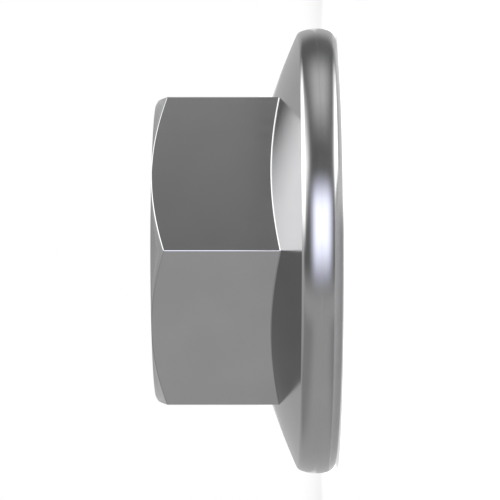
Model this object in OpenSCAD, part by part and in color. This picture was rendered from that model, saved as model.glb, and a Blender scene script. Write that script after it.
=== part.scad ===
// Serrated flange nut: a forged and tapped hexagon nut with a conical flange.
// It stands on its bearing face at z = 0, with the thread along the z axis
// and two of its six corners on the y axis. All sizes are in millimetres.

/* [Thread] */
// Nominal diameter of the thread
thread_d = 5; // [4:0.1:6]
// Advance of the thread in one turn
thread_pitch = 0.8; // [0.5:0.05:1]
// How much wider the mouth of each countersink is than the thread
countersink_margin = 0.6; // [0.1:0.05:0.8]
// Slope of the countersinks from the end faces, in degrees
countersink_slope = 30; // [20:1:50]

/* [Hexagon] */
// Width across the flats
across_flats = 7.87; // [6.5:0.01:9.5]
// Height of the whole nut
nut_h = 4.71; // [3.5:0.01:7]
// Slope of the corner chamfer from the top face, in degrees
chamfer_slope = 29.8; // [15:0.1:40]
// How far inside the flats the chamfer starts
chamfer_setback = 0.01; // [0.01:0.01:0.6]

/* [Flange] */
// Largest diameter of the flange
flange_d = 11.79; // [9.8:0.01:15]
// Height of the widest line of the rim above the bearing face
rim_widest_h = 0.5; // [0.4:0.01:0.65]
// Radius of the crowned rim
rim_crown_r = 1.07; // [0.85:0.01:1.3]
// Radius of the edge between the bearing face and the rim
foot_r = 0.31; // [0.2:0.01:0.4]
// Radius of the edge between the rim and the cone
shoulder_r = 0.21; // [0.1:0.01:0.3]
// Height at which the line of the cone comes down to the largest diameter
cone_edge_h = 0.93; // [0.8:0.01:1.2]
// Slope of the cone at its edge, in degrees
cone_slope = 24.8; // [18:0.1:32]
// Radius of the slight bulge of the cone
cone_bulge_r = 20; // [15:0.5:60]

/* [Serrations] */
// Number of ratchet teeth in the bearing face
tooth_count = 30; // [18:1:40]
// Height of the teeth at the outside of the toothed ring
tooth_h = 0.22; // [0.1:0.01:0.35]
// Share of the pitch that is left as a flat crest
crest_share = 0.1; // [0.05:0.01:0.3]
// Width of the smooth land between the teeth and the edge of the bearing face
land_w = 0.45; // [0.2:0.01:0.8]
// Slope at which the tooth gaps run out at the land, in degrees
runout_slope = 50; // [30:1:70]

/* [Hidden] */
$fn = 96;
// Chords drawn along each rounded edge of the flange's outline, and along the cone
edge_steps = 8;
cone_steps = 10;
// Distance by which cutting shapes run past what they cut
past = 1;

bore_r = (thread_d - thread_pitch) / 2;
countersink_r = (thread_d + countersink_margin) / 2;
countersink_h = (countersink_r - bore_r) * tan(countersink_slope);
corner_r = across_flats / 2 / cos(30);
top_face_r = across_flats / 2 - chamfer_setback;

// Centres of the arcs of the flange's outline, each as [radius, height]
flange_r = flange_d / 2;
crown_centre = [flange_r - rim_crown_r, rim_widest_h];
foot_centre = [
    crown_centre.x + sqrt(pow(rim_crown_r - foot_r, 2) - pow(rim_widest_h - foot_r, 2)),
    foot_r
];
cone_centre = [flange_r, cone_edge_h] - cone_bulge_r * [sin(cone_slope), cos(cone_slope)];
shoulder_centre = outer_meeting(
    crown_centre, rim_crown_r - shoulder_r,
    cone_centre, cone_bulge_r - shoulder_r
);

teeth_r = foot_centre.x - land_w;
tooth_pitch = 360 / tooth_count;
gap_angle = tooth_pitch * (1 - crest_share);
ramp_tilt = atan(tooth_h / (teeth_r * sin(gap_angle)));

// The direction from one point to another, in degrees from the radial direction
function heading(from, to) = atan2(to.y - from.y, to.x - from.x);

// The points of an arc, as many chords as steps says
function arc(centre, r, from, to, steps) =
    [for (i = [0 : steps]) let (a = from + (to - from) * i / steps) centre + r * [cos(a), sin(a)]];

// Of the two points where a circle about a meets a circle about b, the one farther from the axis
function outer_meeting(a, ra, b, rb) =
    let (
        gap = norm(b - a),
        along = (gap * gap + ra * ra - rb * rb) / (2 * gap),
        aside = sqrt(ra * ra - along * along),
        ahead = (b - a) / gap
    )
    a + along * ahead + aside * [-ahead.y, ahead.x];

// The flange: a bearing face, a crowned rim between two rounded edges, and a
// slightly bulging cone that runs up inside the hexagon
module flange() {
    crown_from = heading(crown_centre, foot_centre);
    crown_to = heading(crown_centre, shoulder_centre);
    cone_from = heading(cone_centre, shoulder_centre);
    cone_to = acos((bore_r - cone_centre.x) / cone_bulge_r);
    outline = concat(
        [[0, 0]],
        arc(foot_centre, foot_r, -90, crown_from, edge_steps),
        arc(crown_centre, rim_crown_r, crown_from, crown_to, edge_steps),
        arc(shoulder_centre, shoulder_r, crown_to, cone_from, edge_steps),
        arc(cone_centre, cone_bulge_r, cone_from, cone_to, cone_steps)
    );
    top = outline[len(outline) - 1];
    rotate_extrude() polygon(concat(outline, [[0, top.y]]));
}

// The hexagon, with its top corners turned off in a chamfer
module hexagon() {
    chamfer_h = (corner_r + past - top_face_r) * tan(chamfer_slope);
    intersection() {
        rotate(30) cylinder(h = nut_h, r = corner_r, $fn = 6);
        rotate_extrude() polygon([
            [0, 0],
            [corner_r + past, 0],
            [corner_r + past, nut_h - chamfer_h],
            [top_face_r, nut_h],
            [0, nut_h]
        ]);
    }
}

// The hole for the thread, with a countersink at each end
module tapped_hole() {
    mouth_r = countersink_r + past / tan(countersink_slope);
    rotate_extrude() polygon([
        [0, -past],
        [mouth_r, -past],
        [bore_r, countersink_h],
        [bore_r, nut_h - countersink_h],
        [mouth_r, nut_h + past],
        [0, nut_h + past]
    ]);
}

// The ring that the tooth gaps stay in: it opens into the countersink, and its
// outer wall leans inwards so that the gaps run out before the land
module toothed_ring() {
    ring_h = 2 * tooth_h;
    rotate_extrude() polygon([
        [bore_r, -past],
        [teeth_r, -past],
        [teeth_r, 0],
        [teeth_r - ring_h / tan(runout_slope), ring_h],
        [bore_r, ring_h]
    ]);
}

// The gap between two teeth. Its steep side stands on the x axis, and bites when
// the nut is turned to loosen it. Its ramp falls anticlockwise to the next crest,
// and slides when the nut is turned to tighten it.
module tooth_gap() {
    reach = flange_r + past;
    intersection() {
        translate([0, 0, -past]) cube([reach, reach, nut_h]);
        rotate(gap_angle) rotate([-ramp_tilt, 0, 0]) translate([0, -reach, -reach]) cube(reach);
        toothed_ring();
    }
}

module flange_nut() {
    color("silver") difference() {
        union() {
            flange();
            hexagon();
        }
        tapped_hole();
        for (i = [0 : tooth_count - 1]) rotate(i * tooth_pitch) tooth_gap();
    }
}

flange_nut();
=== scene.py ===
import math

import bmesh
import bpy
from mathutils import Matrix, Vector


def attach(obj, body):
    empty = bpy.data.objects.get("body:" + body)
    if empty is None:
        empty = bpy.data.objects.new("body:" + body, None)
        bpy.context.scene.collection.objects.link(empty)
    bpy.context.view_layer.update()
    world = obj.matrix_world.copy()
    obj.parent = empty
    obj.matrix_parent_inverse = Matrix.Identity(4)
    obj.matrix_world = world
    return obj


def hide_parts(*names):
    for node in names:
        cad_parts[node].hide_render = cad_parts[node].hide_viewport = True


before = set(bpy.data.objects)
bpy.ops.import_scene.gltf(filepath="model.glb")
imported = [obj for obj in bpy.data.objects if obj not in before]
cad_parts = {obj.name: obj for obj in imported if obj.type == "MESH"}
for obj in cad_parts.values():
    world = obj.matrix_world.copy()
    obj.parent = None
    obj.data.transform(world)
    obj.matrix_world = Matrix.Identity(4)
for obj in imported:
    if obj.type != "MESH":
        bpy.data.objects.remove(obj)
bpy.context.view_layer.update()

# %% [markdown]
# A serrated flange nut, in one piece. A real one is forged from bar: the hexagon and its wide foot in
# one blow, the ratchet teeth in another, and then the hole is countersunk and tapped. This lesson makes
# it in that order, with the tools of edit mode, in millimetres, and shrinks it to metres at the end.
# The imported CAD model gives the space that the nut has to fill, so its box is kept from the start.

# %% [markdown]
# The sizes of an M5 nut of this kind. The hexagon is 7.87 across its flats and the flange is 1.5 times
# as wide, with a crowned rim between a rounded foot and a small rounded shoulder. A real nut has no
# knife edges, because the die has small radii, so each edge gets one too: they catch the light as thin
# bright lines.

# %% Sizes, in millimetres and radians
across_flats = 7.87
nut_height = 4.71
chamfer_slope = math.radians(29.8)
chamfer_start_r = across_flats / 2 - 0.01
corner_r = across_flats / 2 / math.cos(math.radians(30))
corner_edge_r = 0.05
chamfer_edge_r = 0.035
junction_edge_r = 0.045
rim_r = 11.79 / 2
crown_r = 1.07
widest_h = 0.5
foot_edge_r = 0.31
shoulder_edge_r = 0.21
cone_r = 20
cone_slope = math.radians(24.8)
cone_edge_h = 0.93
thread_r = 2.5
bore_r = 2.1
thread_pitch = 0.8
countersink_r = 2.8
countersink_slope = math.radians(30)
tooth_count = 30
tooth_height = 0.22
land_width = 0.45
runout_slope = math.radians(50)

# %% [markdown]
# Most of the nut is round, so most of it is turned from an outline. A cylinder could be pulled into
# shape too, but an outline has exact arcs. It is drawn with one vertex that is extruded from point to
# point, as a pencil would go. It stays a little away from the axis, so that turning it leaves no pole,
# and the hole takes that place later.


# %% Drawing an outline
def arc(centre, radius, start, end, steps):
    """The points of an arc, from one angle to another."""
    points = []
    for n in range(steps + 1):
        angle = start + (end - start) * n / steps
        points.append((centre[0] + radius * math.cos(angle), centre[1] + radius * math.sin(angle)))
    return points


def draw(name, outline):
    """A new piece in edit mode, with an open outline of (radius, height) points."""
    bpy.ops.object.select_all(action="DESELECT")
    bpy.ops.mesh.primitive_plane_add(size=0.1)
    piece = bpy.context.object
    piece.name = name
    bpy.ops.object.mode_set(mode="EDIT")
    bpy.ops.mesh.select_mode(type="VERT")
    bpy.ops.mesh.select_all(action="SELECT")
    bpy.ops.mesh.merge(type="CENTER")
    pencil = Vector((0, 0, 0))
    for n, (radius, height) in enumerate(outline):
        step = Vector((radius, 0, height)) - pencil
        pencil = pencil + step
        if n == 0:
            bpy.ops.transform.translate(value=step)
        else:
            bpy.ops.mesh.extrude_region_move(TRANSFORM_OT_translate={"value": step})
    return piece


def close_outline(piece):
    """Joins the last point of the outline to the first."""
    for vert in bmesh.from_edit_mesh(piece.data).verts:
        vert.select_set(len(vert.link_edges) == 1)
    bpy.ops.mesh.edge_face_add()


# %% [markdown]
# Spinning the closed outline about the axis makes the solid. A whole turn ends on its own start, so the
# points that lie on each other are merged, and then the faces are pointed outwards. The last helper
# measures a piece, because a boolean works well only on a closed solid, which has no open edges.

# %% Turning the outline
whole_turn = 2 * math.pi
same_point = 0.0001


def turn(steps, angle=whole_turn):
    """Spins the outline anticlockwise about the upright axis. The operator counts clockwise."""
    bpy.ops.mesh.select_all(action="SELECT")
    bpy.ops.mesh.spin(steps=steps, angle=-angle, center=(0, 0, 0), axis=(0, 0, 1))
    bpy.ops.mesh.select_all(action="SELECT")
    bpy.ops.mesh.remove_doubles(threshold=same_point)


def leave_edit():
    """Points the faces outwards and goes back to object mode."""
    bpy.ops.mesh.select_all(action="SELECT")
    bpy.ops.mesh.normals_make_consistent(inside=False)
    bpy.ops.object.mode_set(mode="OBJECT")


def measure(piece):
    """Prints how many faces, triangles and open edges a piece has, and its volume."""
    form = bmesh.new()
    form.from_mesh(piece.data)
    triangles = sum(len(face.verts) - 2 for face in form.faces)
    open_edges = sum(not edge.is_manifold for edge in form.edges)
    volume = round(form.calc_volume(), 2)
    print(piece.name, "has", len(form.faces), "faces,", triangles, "triangles,", open_edges, "open edges")
    print("its volume is", volume, "mm3")
    form.free()


# %% [markdown]
# The flange's outline is a chain of arcs that run smoothly into each other: the foot's edge, the crown
# of the rim, the shoulder and the slightly bulging cone. Each centre follows from the two arcs it
# touches, as a draughtsman finds it with compasses. Where the hexagon will stand, the cone has no points
# between two radii, so that the weld does not have to cut through rings of small faces.

# %% The flange
turning_steps = 270
blank_inner_r = 1.5
crown = (rim_r - crown_r, widest_h)
foot_reach = math.sqrt((crown_r - foot_edge_r) ** 2 - (widest_h - foot_edge_r) ** 2)
foot = (crown[0] + foot_reach, foot_edge_r)
cone = (rim_r - cone_r * math.sin(cone_slope), cone_edge_h - cone_r * math.cos(cone_slope))


def outer_meeting(a, radius_a, b, radius_b):
    """Where two circles meet, the point farther from the axis."""
    gap = math.dist(a, b)
    along = (gap * gap + radius_a * radius_a - radius_b * radius_b) / (2 * gap)
    aside = math.sqrt(radius_a * radius_a - along * along)
    ahead = ((b[0] - a[0]) / gap, (b[1] - a[1]) / gap)
    return (a[0] + along * ahead[0] - aside * ahead[1], a[1] + along * ahead[1] + aside * ahead[0])


def heading(start, end):
    """The angle of the line from one point to another."""
    return math.atan2(end[1] - start[1], end[0] - start[0])


def cone_angle(radius):
    """The angle on the cone's arc at a distance from the axis."""
    return math.acos((radius - cone[0]) / cone_r)


shoulder = outer_meeting(crown, crown_r - shoulder_edge_r, cone, cone_r - shoulder_edge_r)
crown_start = heading(crown, foot)
crown_end = heading(crown, shoulder)
cone_start = heading(cone, shoulder)
junction_outer_r = 4.7
junction_inner_r = 3.8
outline = [(blank_inner_r, 0)]
outline += arc(foot, foot_edge_r, -math.pi / 2, crown_start, steps=14)
outline += arc(crown, crown_r, crown_start, crown_end, steps=24)[1:]
outline += arc(shoulder, shoulder_edge_r, crown_end, cone_start, steps=12)[1:]
outline += arc(cone, cone_r, cone_start, cone_angle(junction_outer_r), steps=8)[1:]
outline += arc(cone, cone_r, cone_angle(junction_inner_r), cone_angle(blank_inner_r), steps=2)
nut = draw("nut_body", outline)
close_outline(nut)
turn(turning_steps)
leave_edit()
print("points in the outline:", len(outline))
measure(nut)

# %% [markdown]
# The hexagon starts as a six-sided cylinder with its upright edges rounded. Its top corners are turned
# off by meeting it with a round blank that has a cone at its top, and where that cone leaves a flat it
# makes the curved edge that every turned hexagon has. Then the hexagon and the flange are welded. A
# boolean modifier does both, because it finds those curves exactly. The hexagon and the blank start
# inside the flange, at two heights, because a boolean can fail where faces lie on each other.

# %% The hexagon
hexagon_foot_h = 0.3
blank_foot_h = 0.5
sliver = 0.0005


def combine(piece, tool, operation):
    """Cuts, welds or meets a piece with a tool, and takes the tool away."""
    bpy.ops.object.select_all(action="DESELECT")
    bpy.context.view_layer.objects.active = piece
    modifier = piece.modifiers.new(operation, "BOOLEAN")
    modifier.operation = operation
    modifier.solver = "EXACT"
    modifier.object = tool
    bpy.ops.object.modifier_apply(modifier=modifier.name)
    bpy.data.objects.remove(tool, do_unlink=True)
    bpy.ops.object.mode_set(mode="EDIT")
    bpy.ops.mesh.select_mode(type="VERT")
    bpy.ops.mesh.select_all(action="SELECT")
    bpy.ops.mesh.remove_doubles(threshold=sliver)
    bpy.ops.object.mode_set(mode="OBJECT")
    print("after the", operation.lower())
    measure(piece)


bpy.ops.object.select_all(action="DESELECT")
bpy.ops.mesh.primitive_cylinder_add(
    vertices=6, radius=corner_r, depth=nut_height, location=(0, 0, nut_height / 2 + hexagon_foot_h)
)
hexagon = bpy.context.object
hexagon.name = "hexagon"
bpy.ops.object.transform_apply(location=True)
bpy.ops.object.mode_set(mode="EDIT")
bpy.ops.mesh.select_mode(type="EDGE")
bpy.ops.mesh.select_all(action="DESELECT")
for edge in bmesh.from_edit_mesh(hexagon.data).edges:
    if abs(edge.verts[0].co.z - edge.verts[1].co.z) > nut_height / 2:
        edge.select_set(True)
bpy.ops.mesh.bevel(offset=corner_edge_r * math.tan(math.radians(30)), segments=6, profile=0.5)
leave_edit()

core_r = blank_inner_r - 0.1
blank_r = corner_r + 0.6
blank_side_h = nut_height - (blank_r - chamfer_start_r) * math.tan(chamfer_slope)
blank = draw("blank", [
    (core_r, blank_foot_h),
    (blank_r, blank_foot_h),
    (blank_r, blank_side_h),
    (chamfer_start_r, nut_height),
    (core_r, nut_height),
])
close_outline(blank)
turn(turning_steps)
leave_edit()
combine(hexagon, blank, "INTERSECT")
combine(nut, hexagon, "UNION")

# %% [markdown]
# The curved edges between the flats and the chamfer, and between the flats and the flange, get their
# small radii from a bevel modifier that reads a weight from each edge. In the middle of a flat the
# chamfer narrows to almost nothing, so the weight falls there with the width that is left, and the
# bevel never runs over the edge of the top face. It lifts a few points there by two micrometres, and
# they are set back level with the face.

# %% The small radii round the flats
chamfer_setback = chamfer_edge_r * math.tan((math.pi / 2 - chamfer_slope) / 2)
junction_setback = junction_edge_r * math.tan((math.pi / 2 - cone_slope) / 2)
above_rim_h = 1.2
most_of_strip = 0.8
nearly_upright = 0.02
body = bmesh.new()
body.from_mesh(nut.data)
weight = body.edges.layers.float.new("bevel_weight_edge")
rounded = 0
for edge in body.edges:
    upright = [abs(face.normal.z) < nearly_upright for face in edge.link_faces]
    middle = (edge.verts[0].co + edge.verts[1].co) / 2
    radius = math.hypot(middle.x, middle.y)
    if radius < chamfer_start_r or upright[0] == upright[1] or middle.z < above_rim_h:
        continue
    strip_width = (radius - chamfer_start_r) / math.cos(chamfer_slope)
    on_top = middle.z > nut_height / 2
    setback = min(chamfer_setback, most_of_strip * strip_width) if on_top else junction_setback
    edge[weight] = setback / junction_setback
    rounded += 1
body.to_mesh(nut.data)
body.free()
bpy.context.view_layer.objects.active = nut
bevel = nut.modifiers.new("small radii", "BEVEL")
bevel.limit_method = "WEIGHT"
bevel.width = junction_setback
bevel.segments = 4
bevel.use_clamp_overlap = False
bpy.ops.object.modifier_apply(modifier=bevel.name)
for vert in nut.data.vertices:
    vert.co.z = min(vert.co.z, nut_height)
print("rounded", rounded, "edges")
measure(nut)

# %% [markdown]
# The hole is cut as in the workshop: first the countersinks, then the thread. The countersink at each
# end leads a screw in, and keeps the first turn of the thread from being pushed out of the face. It is
# a turned cone, and its sharp rim gets a small radius in edit mode, where its edges are found by their
# height and their distance from the axis.

# %% The countersinks
rim_edge_r = 0.02
in_plane = 0.001
on_circle = 0.002
tool_reach = 1.0
tool_inner_r = 1.0
tip_r = blank_inner_r + 0.1


def countersink(end_h, inwards):
    """A cone with its wide end at an end face and its point inwards."""
    slope = math.tan(countersink_slope)
    outer_h = end_h - inwards * tool_reach
    tip_h = end_h + inwards * (countersink_r - tip_r) * slope
    tool = draw("countersink", [
        (tool_inner_r, outer_h),
        (countersink_r + tool_reach / slope, outer_h),
        (tip_r, tip_h),
        (tool_inner_r, tip_h),
    ])
    close_outline(tool)
    turn(turning_steps)
    leave_edit()
    return tool


combine(nut, countersink(0, 1), "DIFFERENCE")
combine(nut, countersink(nut_height, -1), "DIFFERENCE")
bpy.ops.object.mode_set(mode="EDIT")
bpy.ops.mesh.select_mode(type="EDGE")
bpy.ops.mesh.select_all(action="DESELECT")
for edge in bmesh.from_edit_mesh(nut.data).edges:
    ends = [vert.co for vert in edge.verts]
    on_end = all(min(abs(co.z), abs(co.z - nut_height)) < in_plane for co in ends)
    if on_end and all(abs(math.hypot(co.x, co.y) - countersink_r) < on_circle for co in ends):
        edge.select_set(True)
bpy.ops.mesh.bevel(offset=rim_edge_r, segments=3, profile=0.5)
leave_edit()
measure(nut)

# %% [markdown]
# The thread is M5 x 0.8. Bump could draw its lines, but not the steps that show where the hole is seen
# at a slant, so it is cut. The tap is one pitch of the groove's outline, with 60 degrees between its
# flanks, a rounded root and slightly rounded crests, swept up a helix by a screw modifier. Its open ends
# are drawn together to a point, so that it is a closed solid that a boolean can cut with. It rises
# anticlockwise, which makes a right-hand thread, and it runs out past both ends of the hole.

# %% The thread
thread_steps = 96
flank = math.radians(30)
half_root = 0.05
root_r = half_root / math.tan(flank)
crest_r = 0.03
half_groove = half_root + (thread_r - bore_r) * math.tan(flank)
crest_h = half_groove + crest_r * math.tan(flank)
middle_h = thread_pitch / 2
flank_turn = math.pi / 2 - flank
first_h = -1.5 * thread_pitch
thread_turns = 9
profile = [(bore_r, 0)]
profile += arc((bore_r + crest_r, middle_h - crest_h), crest_r, math.pi, math.pi - flank_turn, steps=3)
profile += arc((thread_r - root_r, middle_h), root_r, -flank_turn, flank_turn, steps=8)
profile += arc((bore_r + crest_r, middle_h + crest_h), crest_r, math.pi + flank_turn, math.pi, steps=3)
profile += [(bore_r, thread_pitch)]
tap = draw("tap", [(radius, height + first_h) for radius, height in profile])
bpy.ops.object.mode_set(mode="OBJECT")
sweep = tap.modifiers.new("sweep", "SCREW")
sweep.angle = whole_turn
sweep.screw_offset = thread_pitch
sweep.iterations = thread_turns
sweep.steps = thread_steps
sweep.render_steps = thread_steps
bpy.ops.object.modifier_apply(modifier=sweep.name)
bpy.ops.object.mode_set(mode="EDIT")
bpy.ops.mesh.select_all(action="SELECT")
bpy.ops.mesh.remove_doubles(threshold=same_point)
for low_end in (True, False):
    bpy.ops.mesh.select_mode(type="EDGE")
    bpy.ops.mesh.select_all(action="DESELECT")
    for edge in bmesh.from_edit_mesh(tap.data).edges:
        middle = (edge.verts[0].co + edge.verts[1].co) / 2
        if edge.is_boundary and (middle.z < nut_height / 2) == low_end:
            edge.select_set(True)
    bpy.ops.mesh.extrude_edges_move()
    bpy.ops.mesh.merge(type="CENTER")
leave_edit()
measure(tap)
combine(nut, tap, "DIFFERENCE")

# %% [markdown]
# Thirty ratchet teeth bite the joint when the nut is turned to loosen it. One gap between two teeth is
# modelled: a slice of a ring with an outer wall that leans inwards, cut along a ramp that falls
# from the foot of a steep wall to the next crest. Spinning copies of it gives all thirty, and one cut
# takes them out together, which is quicker than thirty cuts.

# %% The ratchet teeth
teeth_r = foot[0] - land_width
tooth_angle = whole_turn / tooth_count
crest_share = 0.1
gap_angle = tooth_angle * (1 - crest_share)
ring_top_h = 2 * tooth_height
ring_foot_h = -1
ramp_tilt = math.atan(tooth_height / (teeth_r * math.sin(gap_angle)))
gap = draw("tooth_gap", [
    (bore_r, ring_foot_h),
    (teeth_r, ring_foot_h),
    (teeth_r, 0),
    (teeth_r - ring_top_h / math.tan(runout_slope), ring_top_h),
    (bore_r, ring_top_h),
])
close_outline(gap)
bpy.ops.mesh.select_all(action="SELECT")
bpy.ops.mesh.edge_face_add()
turn(steps=6, angle=gap_angle)
ramp_lean = math.sin(ramp_tilt)
ramp_normal = (-math.sin(gap_angle) * ramp_lean, math.cos(gap_angle) * ramp_lean, math.cos(ramp_tilt))
bpy.ops.mesh.select_all(action="SELECT")
bpy.ops.mesh.bisect(plane_co=(0, 0, 0), plane_no=ramp_normal, use_fill=True, clear_outer=True)
bpy.ops.mesh.select_all(action="SELECT")
bpy.ops.mesh.normals_make_consistent(inside=False)
bpy.ops.mesh.spin(
    steps=tooth_count - 1, angle=tooth_angle - whole_turn, dupli=True, center=(0, 0, 0), axis=(0, 0, 1)
)
leave_edit()
measure(gap)
combine(nut, gap, "DIFFERENCE")

# %% [markdown]
# Bright metal shows every fault of its shading, so the normals are set with care. Faces that meet at
# more than 30 degrees keep a crisp edge, and so do the edges of the teeth, at 8 degrees. Then a weighted
# normal modifier lets each large face keep its own direction, so that the flats stay flat up to their
# small radii.

# %% Crisp edges and even faces
crisp_angle = math.radians(30)
tooth_crisp_angle = math.radians(8)
just_past = 0.01
bpy.ops.object.select_all(action="DESELECT")
nut.select_set(True)
bpy.context.view_layer.objects.active = nut
bpy.ops.object.shade_smooth_by_angle(angle=crisp_angle)
bpy.ops.object.mode_set(mode="EDIT")
bpy.ops.mesh.select_mode(type="EDGE")
bpy.ops.mesh.select_all(action="DESELECT")
for edge in bmesh.from_edit_mesh(nut.data).edges:
    middle = (edge.verts[0].co + edge.verts[1].co) / 2
    inside = math.hypot(middle.x, middle.y) < teeth_r + just_past
    if middle.z < ring_top_h and inside and edge.calc_face_angle(0) > tooth_crisp_angle:
        edge.select_set(True)
bpy.ops.mesh.mark_sharp()
bpy.ops.object.mode_set(mode="OBJECT")
even = nut.modifiers.new("even", "WEIGHTED_NORMAL")
even.mode = "FACE_AREA"
even.weight = 100
even.keep_sharp = True
bpy.ops.object.modifier_apply(modifier=even.name)
print("crisp edges:", sum(edge.use_edge_sharp for edge in nut.data.edges))

# %% [markdown]
# The cone of the flange meets the hexagon in long thin faces, and averaged normals would draw faint
# lines across its reflections there. But the cone is an exact arc, so each corner that lies on it gets
# the arc's own direction.

# %% Exact normals on the cone
on_arc = 0.002
nearly_same = math.radians(8)
hexagon_reach = 0.8
normals = [Vector(corner.vector) for corner in nut.data.corner_normals]
turned_corners = 0
for corner in nut.data.loops:
    point = nut.data.vertices[corner.vertex_index].co
    radius = math.hypot(point.x, point.y)
    if radius < corner_r - hexagon_reach or radius > rim_r:
        continue
    angle = cone_angle(radius)
    outwards = math.cos(angle) / radius
    exact = Vector((point.x * outwards, point.y * outwards, math.sin(angle)))
    on_cone = abs(point.z - cone[1] - cone_r * math.sin(angle)) < on_arc
    if on_cone and normals[corner.index].angle(exact) < nearly_same:
        normals[corner.index] = exact
        turned_corners += 1
nut.data.normals_split_custom_set(normals)
print("exact normals at", turned_corners, "corners of the cone")
measure(nut)

# %% [markdown]
# The finished nut is brought from millimetres to metres, and rides on the frame in place of its CAD
# node. It stays at the origin, unturned and unscaled, so that it lies exactly where the CAD node does.

# %% Metres, and a ride on the frame
mm = 0.001
nut.scale = (mm, mm, mm)
bpy.ops.object.transform_apply(scale=True)
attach(nut, "root")
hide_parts("flange_nut")
print("nut's size, m:", [round(side, 5) for side in nut.dimensions])

# %% [markdown]
# Shader sums are written as Python. A small class wraps a socket, so that an expression such as
# 1 - mask * 0.2 adds its own Math nodes, and one method adds any other node with its settings and
# sockets. The same graph could be wired by hand, but a formula can be read and changed.


# %% Wires between shader nodes
class Wire:
    """A socket of a node tree. An expression with it adds Math nodes to that tree."""

    def __init__(self, tree, socket):
        self.tree = tree
        self.socket = socket

    def node(self, kind, settings, sockets, output=0):
        """A new node of a kind, with its settings and the values or wires of its sockets."""
        made = self.tree.nodes.new(kind)
        for name, value in settings.items():
            setattr(made, name, value)
        for name, value in sockets.items():
            if isinstance(value, Wire):
                self.tree.links.new(value.socket, made.inputs[name])
            else:
                made.inputs[name].default_value = value
        return Wire(self.tree, made.outputs[output])

    def to_surface(self):
        """Gives this shader to the material."""
        output = self.tree.nodes.new("ShaderNodeOutputMaterial")
        self.tree.links.new(self.socket, output.inputs["Surface"])

    def math(self, operation, *others):
        """A Math node whose first value is this wire."""
        return self.node("ShaderNodeMath", {"operation": operation}, dict(enumerate((self, *others))))

    def ramp(self, start, end):
        """A smooth step from 0 at start to 1 at end, which may be the lower of the two."""
        sockets = {"Value": self, "From Min": start, "From Max": end}
        return self.node("ShaderNodeMapRange", {"interpolation_type": "SMOOTHSTEP"}, sockets)

    def __add__(self, other):
        return self.math("ADD", other)

    def __sub__(self, other):
        return self.math("SUBTRACT", other)

    def __rsub__(self, other):
        return self.math("MULTIPLY_ADD", -1, other)

    def __mul__(self, other):
        return self.math("MULTIPLY", other)

    __radd__ = __add__
    __rmul__ = __mul__


# %% [markdown]
# A few helpers use such wires. Each pattern is placed by the object's own coordinates, so it stays on
# the nut wherever the nut goes. Colours are blended by a Mix node, because a Math node would turn them
# grey.


# %% Helpers for patterns
def place(tree):
    """The wires x, y and z of the object's own coordinates, in metres."""
    coordinates = Wire(tree, tree.nodes.new("ShaderNodeTexCoord").outputs["Object"])
    return [coordinates.node("ShaderNodeSeparateXYZ", {}, {0: coordinates}, axis) for axis in range(3)]


def length(x, y):
    """The distance from the upright axis."""
    return (x * x + y * y).math("SQRT")


def noise(vector, scale, detail):
    """Cloudy noise around one half, of so many waves in a metre."""
    sockets = {"Vector": vector, "Scale": scale, "Detail": detail}
    return vector.node("ShaderNodeTexNoise", {}, sockets)


def blend(amount, first, second):
    """A colour between two colours."""
    return amount.node("ShaderNodeMix", {"data_type": "RGBA"}, {0: amount, 6: first, 7: second}, 2)


# %% [markdown]
# The nut is bright steel, and different tools left different surfaces. The flats of the hexagon came
# smooth from the die, the flange and the end faces were turned, and the thread and the teeth are a
# little rougher. One material holds them all, because separate ones would meet at hard lines. Each
# surface is found by its place: the distance from the nearest flat for the hexagon, the distance from
# the axis for the hole, and the height for the teeth. A ramp gives each mask a soft edge a few
# hundredths of a millimetre wide.

# %% Where each finish lies
steel = bpy.data.materials.new("bright_steel")
steel.use_nodes = True
tree = steel.node_tree
x, y, z = place(tree)
from_axis = length(x, y)
flat_at = across_flats / 2 * mm
hole_at = countersink_r * mm
teeth_at = teeth_r * mm
gap_top = tooth_height * mm
hundredth = 0.01 * mm
across = x.math("ABSOLUTE")
for lean in (0.5, -0.5):
    across = across.math("MAXIMUM", (x * lean + y * math.sin(math.radians(60))).math("ABSOLUTE"))
on_hexagon = across.ramp(flat_at + 3.5 * hundredth, flat_at + 1.5 * hundredth)
on_flats = on_hexagon * across.ramp(flat_at - 4.5 * hundredth, flat_at - 1.5 * hundredth)
in_hole = from_axis.ramp(hole_at + 2 * hundredth, hole_at - 4 * hundredth)
underneath = z.ramp(gap_top + 4 * hundredth, gap_top - 2 * hundredth)
underneath = underneath * from_axis.ramp(teeth_at + 5 * hundredth, teeth_at - hundredth)
print("masks use", len(tree.nodes), "nodes")

# %% [markdown]
# The marks of the tools are far less than a micrometre deep, so the shape leaves them out and the
# material makes them, as bump and as small changes of roughness. Turning leaves rings, which are noise
# that changes only with the radius and the height. The die leaves lines along the axis, which are noise
# that is stretched in height. Slow clouds vary both the roughness and the colour a little, as handling
# and the last wash do.

# %% The marks of the tools
ring_scale = 9000
line_scale = 7000
line_stretch = 0.02
cloud_scale = 700
turned_roughness = 0.14
smoother_hexagon = 0.06
rougher_hole = 0.1
rougher_underneath = 0.08
mark_contrast = 0.06
cloud_contrast = 0.04
mark_depth = 0.0005 * mm
darker_steel = (0.44, 0.44, 0.445, 1)
lighter_steel = (0.46, 0.46, 0.465, 1)
rings_at = from_axis.node("ShaderNodeCombineXYZ", {}, {"X": from_axis, "Z": z})
lines_at = x.node("ShaderNodeCombineXYZ", {}, {"X": x, "Y": y, "Z": z * line_stretch})
clouds_at = x.node("ShaderNodeCombineXYZ", {}, {"X": x, "Y": y, "Z": z})
rings = noise(rings_at, ring_scale, 4)
lines = noise(lines_at, line_scale, 4)
clouds = noise(clouds_at, cloud_scale, 3)
marks = rings + on_flats * (lines - rings)
relief = marks.node("ShaderNodeBump", {}, {"Strength": 1, "Distance": mark_depth, "Height": marks})
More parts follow.
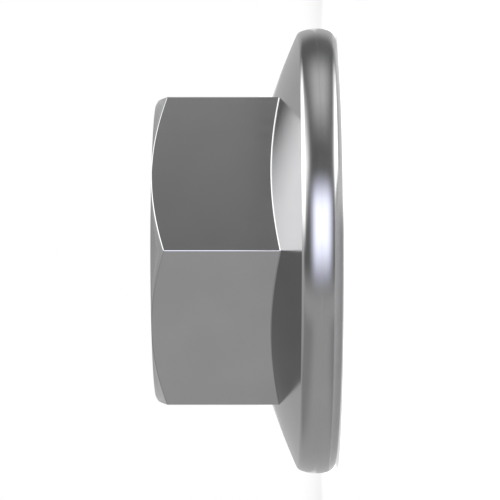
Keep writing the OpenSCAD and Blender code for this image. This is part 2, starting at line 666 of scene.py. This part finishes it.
roughness = turned_roughness - on_hexagon * smoother_hexagon + in_hole * rougher_hole
roughness = roughness + underneath * rougher_underneath
roughness = roughness + (marks - 0.5) * mark_contrast + (clouds - 0.5) * cloud_contrast
colour = blend(clouds.ramp(0.3, 0.7), darker_steel, lighter_steel)
shader = tree.nodes["Principled BSDF"]
shader.inputs["Metallic"].default_value = 1
tree.links.new(colour.socket, shader.inputs["Base Color"])
tree.links.new(roughness.socket, shader.inputs["Roughness"])
tree.links.new(relief.socket, shader.inputs["Normal"])
nut.data.materials.clear()
nut.data.materials.append(steel)
print("bright_steel uses", len(tree.nodes), "nodes")

# %% [markdown]
# The camera looks level at the side of the nut, with a corner of the hexagon towards it. It is close,
# with a long lens, and rolled a quarter turn, so that the nut that stands on the floor lies on its side
# in the picture. The small shift puts the nut where the picture has it. The Standard view transform
# shows a colour as it is written.

# %% The camera
frame_px = 500
focal_px = 2102.2
shift_px = (-0.83, 0.93)
camera_distance = 56.004 * mm
camera_height = 2.219 * mm
camera_data = bpy.data.cameras.new("camera")
camera = bpy.data.objects.new("camera", camera_data)
bpy.context.scene.collection.objects.link(camera)
bpy.context.scene.camera = camera
camera.location = (0, -camera_distance, camera_height)
camera.rotation_euler = (math.radians(90), math.radians(90), 0)
camera_data.sensor_width = 36
camera_data.lens = focal_px / frame_px * camera_data.sensor_width
camera_data.shift_x = shift_px[0] / frame_px
camera_data.shift_y = shift_px[1] / frame_px
camera_data.clip_start = 0.001
camera_data.clip_end = 10
bpy.context.scene.view_settings.view_transform = "Standard"
print("lens, mm:", round(camera_data.lens, 1))

# %% [markdown]
# The nut stands on a white table. Bright metal shows whatever is round it, so the table is part of the
# look. In front of the nut and behind it the board glows plain white, as the picture's background does.
# It is a little greyer to the sides, which is painted shade. Close to the nut it is smoother, with a faint
# reflection, and its glow is darker: a painted shadow of the nut, deepest against the foot, and there
# the board also takes real light and shadow. Straight in front the painted shadow stops close to the
# foot, and a little way under the right of the foot it is left out, which is painted light for the rim's
# bright streak. Beyond the picture the board greys further, painted shade like a studio floor outside its
# lights, because the flats mirror it there. The pattern reads the distance from the axis and the
# direction round it.

# %% The floor
tent_r = 0.5
board_h = -0.001 * mm
degrees = 180 / math.pi
black = (0, 0, 0, 1)
white = (1, 1, 1, 1)
reflective = (0.4, 0.4, 0.4, 1)
near_roughness = 0.12
far_roughness = 0.97
# Depth of the painted shade to the sides, in the board's glow.
painted_side_shade = 0.3
# Depths of the painted shadow round the nut, in the board's glow.
painted_soft_shadow = 0.45
painted_contact_shadow = 0.15
# Depths of the painted shade far out, greyest to +X, in the board's glow.
painted_distant_shade = 0.22
painted_right_shade = 0.3


def direction(x, y):
    """The direction round the nut in degrees: 0 towards the camera, 90 to +X and -90 to -X."""
    return x.math("ARCTAN2", y * -1) * degrees


def stage_disc(name, radius, height):
    """A flat disc round the nut, part of the stage."""
    bpy.ops.object.select_all(action="DESELECT")
    bpy.ops.mesh.primitive_circle_add(vertices=96, radius=radius, fill_type="NGON", location=(0, 0, height))
    disc = bpy.context.object
    disc.name = name
    bpy.ops.object.transform_apply(location=True)
    return disc


def stage_material(name):
    """A material with an empty node tree."""
    material = bpy.data.materials.new(name)
    material.use_nodes = True
    material.node_tree.nodes.clear()
    return material


floor = stage_disc("floor", tent_r, board_h)
board = stage_material("white_board")
x, y, z = place(board.node_tree)
from_nut = length(x, y)
side = direction(x, y)
facing = side.math("ABSOLUTE")
in_front = facing.ramp(60, 20) * from_nut.ramp(6.1 * mm, 6.5 * mm)
# Under the right front of the foot the painted shadow is left out: painted light for the rim's bright
# streak.
painted_light_under_right = side.ramp(4, 16) * side.ramp(75, 50) * from_nut.ramp(5.9 * mm, 5.8 * mm)
# Painted shadow round the nut, deepest against the foot; where it lies the board also takes real light and
# shadow.
painted_shadow = from_nut.ramp(10.5 * mm, 5.8 * mm) * (1 - in_front) * (1 - painted_light_under_right)
contact = from_nut.ramp(6.3 * mm, 6 * mm)
# Painted shade to the sides of the nut.
sideways = x.math("DIVIDE", from_nut).math("ABSOLUTE").ramp(0, 1) * from_nut.ramp(6 * mm, 10 * mm)
# Painted shade far out, beyond the picture.
distant = from_nut.ramp(18 * mm, 60 * mm) * facing.ramp(165, 145) * facing.ramp(12, 45)
painted_greying = painted_distant_shade + x.ramp(0, 110 * mm) * painted_right_shade
# The board's glow: white, less the painted shade and the painted shadow.
light = 1 - sideways * painted_side_shade - painted_shadow * (contact * painted_contact_shadow + painted_soft_shadow) - distant * painted_greying
# Where the painted shadow lies the board is grey and takes real light and shadow; elsewhere it is black
# under its glow.
surface = x.node("ShaderNodeBsdfPrincipled", {}, {
    "Base Color": blend(painted_shadow, black, reflective),
    "Roughness": from_nut.ramp(8 * mm, 16 * mm) * (far_roughness - near_roughness) + near_roughness,
    "Emission Color": blend(light, black, white),
    "Emission Strength": 1,
})
surface.to_surface()
floor.data.materials.append(board)
print("floor:", len(board.node_tree.nodes), "nodes")

# %% [markdown]
# The picture's nut has light below its flange as well as above it, because it floats in its studio. A
# nut on a table gets that light from a mirror: a photographer lays one round the foot and keeps it out
# of the shot. This one is a thin disc on the table that only the metal sees. It gives the lower half of
# the rim the same highlight as the upper half, it ends under the rim so that the foot still meets the
# table, and at the back it reaches only 2 centimetres, where the flats look better with the table in
# them. A second tent below would do it too, but then the nut would stand on nothing.

# %% The mirror round the foot
mirror_r = 120 * mm
mirror_h = -0.0005 * mm
further_out = 0.3 * mm
mirror = stage_disc("mirror", mirror_r, mirror_h)
polish = stage_material("mirror_polish")
x, y, z = place(polish.node_tree)
from_nut = length(x, y)
side = direction(x, y)
past_foot = (from_nut - side.ramp(24, 8) * further_out).ramp(5.72 * mm, 5.9 * mm)
front_reach = from_nut.ramp(mirror_r, 50 * mm) * side.math("ABSOLUTE").ramp(152, 138)
back_reach = from_nut.ramp(20 * mm, 10 * mm)
reach = past_foot * front_reach.math("MAXIMUM", back_reach)
reflecting = x.node("ShaderNodeBsdfGlossy", {}, {"Color": white, "Roughness": 0.03})
passing = x.node("ShaderNodeBsdfTransparent", {}, {})
surface = x.node("ShaderNodeMixShader", {}, {0: reach, 1: passing, 2: reflecting})
surface.to_surface()
mirror.data.materials.append(polish)
mirror.visible_camera = False
mirror.visible_diffuse = False
mirror.visible_transmission = False
mirror.visible_shadow = False
print("mirror:", len(polish.node_tree.nodes), "nodes")

# %% [markdown]
# A light tent stands over the nut, and the nut mirrors it. It is a dome of cloth that is lit from
# outside: brightly in front and over the right shoulder, softly at the sides and the back, and hardly
# at all between, because bright metal needs dark cloth to be seen against. It is open straight behind
# the nut, where the white background shows.

# %% The light tent
opening_half_width = 0.13 * tent_r
opening_height = 0.14 * tent_r
bpy.ops.object.select_all(action="DESELECT")
bpy.ops.mesh.primitive_uv_sphere_add(segments=96, ring_count=48, radius=tent_r)
tent = bpy.context.object
tent.name = "tent"
bpy.ops.object.mode_set(mode="EDIT")
bpy.ops.mesh.select_mode(type="FACE")
bpy.ops.mesh.select_all(action="DESELECT")
for face in bmesh.from_edit_mesh(tent.data).faces:
    middle = face.calc_center_median()
    in_opening = abs(middle.x) < opening_half_width and middle.z < opening_height
    face.select_set(middle.z < 0 or (middle.y > 0 and in_opening))
bpy.ops.mesh.delete(type="FACE")
bpy.ops.object.mode_set(mode="OBJECT")
tent.visible_camera = False
print("tent:", len(tent.data.polygons), "faces")

# %% [markdown]
# The light in the cloth is a sum of soft patches, each a product of ramps in the direction round the
# nut and the height above the table, both in degrees. The light over the right shoulder is a rectangle
# seen from above, so it is placed in metres. Lamps would do it too, but their hard edges show in the
# flats as lines, and a smooth ramp has none. The walls and the roof stay below 1, which is white, and
# only the two lights go above it, because a highlight on steel is brighter than white paper. The light
# in front is a little blue, as daylight from a window is beside lamps.

# %% The light in the cloth
dark_cloth = 0.19
roof_level = 0.65
left_level = 0.385
belt_level = 0.17
right_level = 0.66
back_level = 0.37
front_level = 2.6
top_level = 2.8
bluish = (0.83, 0.85, 1, 1)
cloth = stage_material("tent_cloth")
x, y, z = place(cloth.node_tree)
side = direction(x, y)
height = z.math("ARCTAN2", length(x, y)) * degrees
left_wall = side.ramp(-4, -30)
left_belt = side.ramp(-30, -45) * side.ramp(-140, -110) * height.ramp(12, 30) * height.ramp(66, 50)
right_wall = side.ramp(50, 86) * side.ramp(126, 94) * height.ramp(28, 4)
back_wall = side.ramp(134, 154)
walls = dark_cloth + left_wall * left_level - left_belt * belt_level
walls = walls + right_wall * right_level + back_wall * back_level
cloth_light = walls + height.ramp(58, 80) * (roof_level - walls)
front_light = side.ramp(-22, 8) * side.ramp(42, 20) * height.ramp(34, 12)
top_light = x.ramp(-0.02, 0.17) * y.ramp(-0.4, -0.25) * y.ramp(0.375, 0.225) * height.ramp(21.5, 45)
brightness = cloth_light + front_light * front_level + top_light * top_level
tint = blend(front_light.ramp(0, 0.2), white, bluish)
shine = x.node("ShaderNodeEmission", {}, {"Color": tint, "Strength": brightness})
shine.to_surface()
tent.data.materials.append(cloth)
print("tent:", len(cloth.node_tree.nodes), "nodes")

# %% [markdown]
# Everything past the table is plain white, as in the picture. A world of strength 1 is exactly white,
# and it reaches the nut only through the opening behind it, so it adds little light of its own.

# %% The background
world = bpy.data.worlds.new("studio")
bpy.context.scene.world = world
world.use_nodes = True
background = world.node_tree.nodes["Background"]
background.inputs["Color"].default_value = white
background.inputs["Strength"].default_value = 1
print("background strength:", background.inputs["Strength"].default_value)
